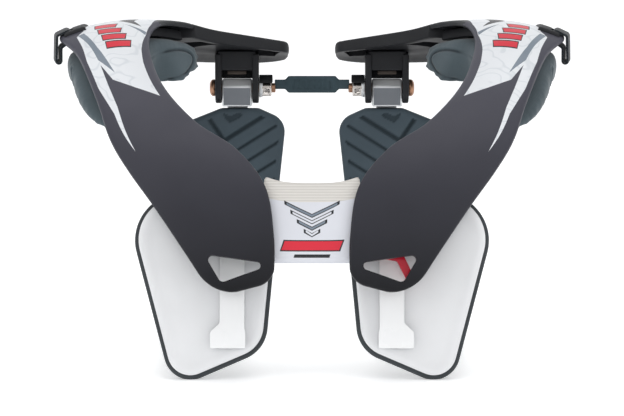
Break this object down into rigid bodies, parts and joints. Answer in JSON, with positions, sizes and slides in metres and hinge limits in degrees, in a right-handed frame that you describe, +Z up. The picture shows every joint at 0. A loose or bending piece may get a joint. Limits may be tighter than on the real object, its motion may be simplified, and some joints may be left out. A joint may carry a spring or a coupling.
{
  "type": "motocross neck brace",
  "caption": "Motocross neck brace: painted front panels over the shoulders, foam pads, chest supports, hinged back supports and a sleeve at the front.",
  "frame": {"origin": "on the floor, under the middle of the standing brace", "axes": "+Z up; the wearer faces -Y; +X is the wearer's left"},
  "size_m": [0.3146, 0.228, 0.2],
  "materials": {
    "paint": "satin dark grey paint",
    "black_plastic": "moulded black",
    "white_plastic": "satin white",
    "foam_rubber": "slate grey moulded foam rubber",
    "edge_rubber": "dark grey rubber",
    "black_rubber": "black rubber",
    "strap_rubber": "slate grey rubber",
    "sleeve_rubber": "white soft sleeve",
    "webbing": "black woven webbing",
    "aluminium": "brushed",
    "copper": "copper-coloured plating",
    "chrome_steel": "bright",
    "steel": "plain",
    "red_plastic": "moulded red"
  },
  "bodies": {
    "brace": {"shell_left": "paint", "chassis_left": "black_plastic", "shoulder_pad_left": "foam_rubber", "strap_loop_left": "webbing", "chest_pad_left": "edge_rubber", "chest_plate_left": "white_plastic", "chest_arm_left": "white_plastic", "pivot_bolt_left": "copper", "pivot_nut_left": "chrome_steel", "nut_cover_left": "black_rubber", "bumper_left": "black_rubber", "shell_right": "paint", "chassis_right": "black_plastic", "shoulder_pad_right": "foam_rubber", "strap_loop_right": "webbing", "chest_pad_right": "edge_rubber", "chest_plate_right": "white_plastic", "chest_arm_right": "white_plastic", "pivot_bolt_right": "copper", "pivot_nut_right": "chrome_steel", "nut_cover_right": "black_rubber", "bumper_right": "black_rubber", "front_link": "black_plastic", "front_sleeve": "sleeve_rubber", "rear_strap": "strap_rubber"},
    "back_support_left": {"pivot_block_left": "aluminium", "back_plate_left": "black_plastic", "back_pad_left": "foam_rubber", "back_screw_upper_left": "steel", "back_screw_lower_left": "steel"},
    "back_support_right": {"pivot_block_right": "aluminium", "back_plate_right": "black_plastic", "back_pad_right": "foam_rubber", "back_screw_upper_right": "steel", "back_screw_lower_right": "steel"},
    "lever": {"release_lever": "red_plastic"}
  },
  "joints": [
    {"name": "back_pivot_left", "type": "hinge", "parent": "brace", "child": "back_support_left", "pos_m": [0.0475, 0.09638, 0.156], "axis": [1, 0, 0], "range_deg": [-15, 20]},
    {"name": "back_pivot_right", "type": "hinge", "parent": "brace", "child": "back_support_right", "pos_m": [-0.0475, 0.09638, 0.156], "axis": [1, 0, 0], "range_deg": [-15, 20]},
    {"name": "release_lever_pivot", "type": "hinge", "parent": "brace", "child": "lever", "pos_m": [0.02997, -0.1022, 0.07233], "axis": [-0.0654, 0.9627, -0.2626], "range_deg": [0, 12], "stiffness_Nm_per_rad": 0.02, "springref_deg": -5.73}
  ]
}
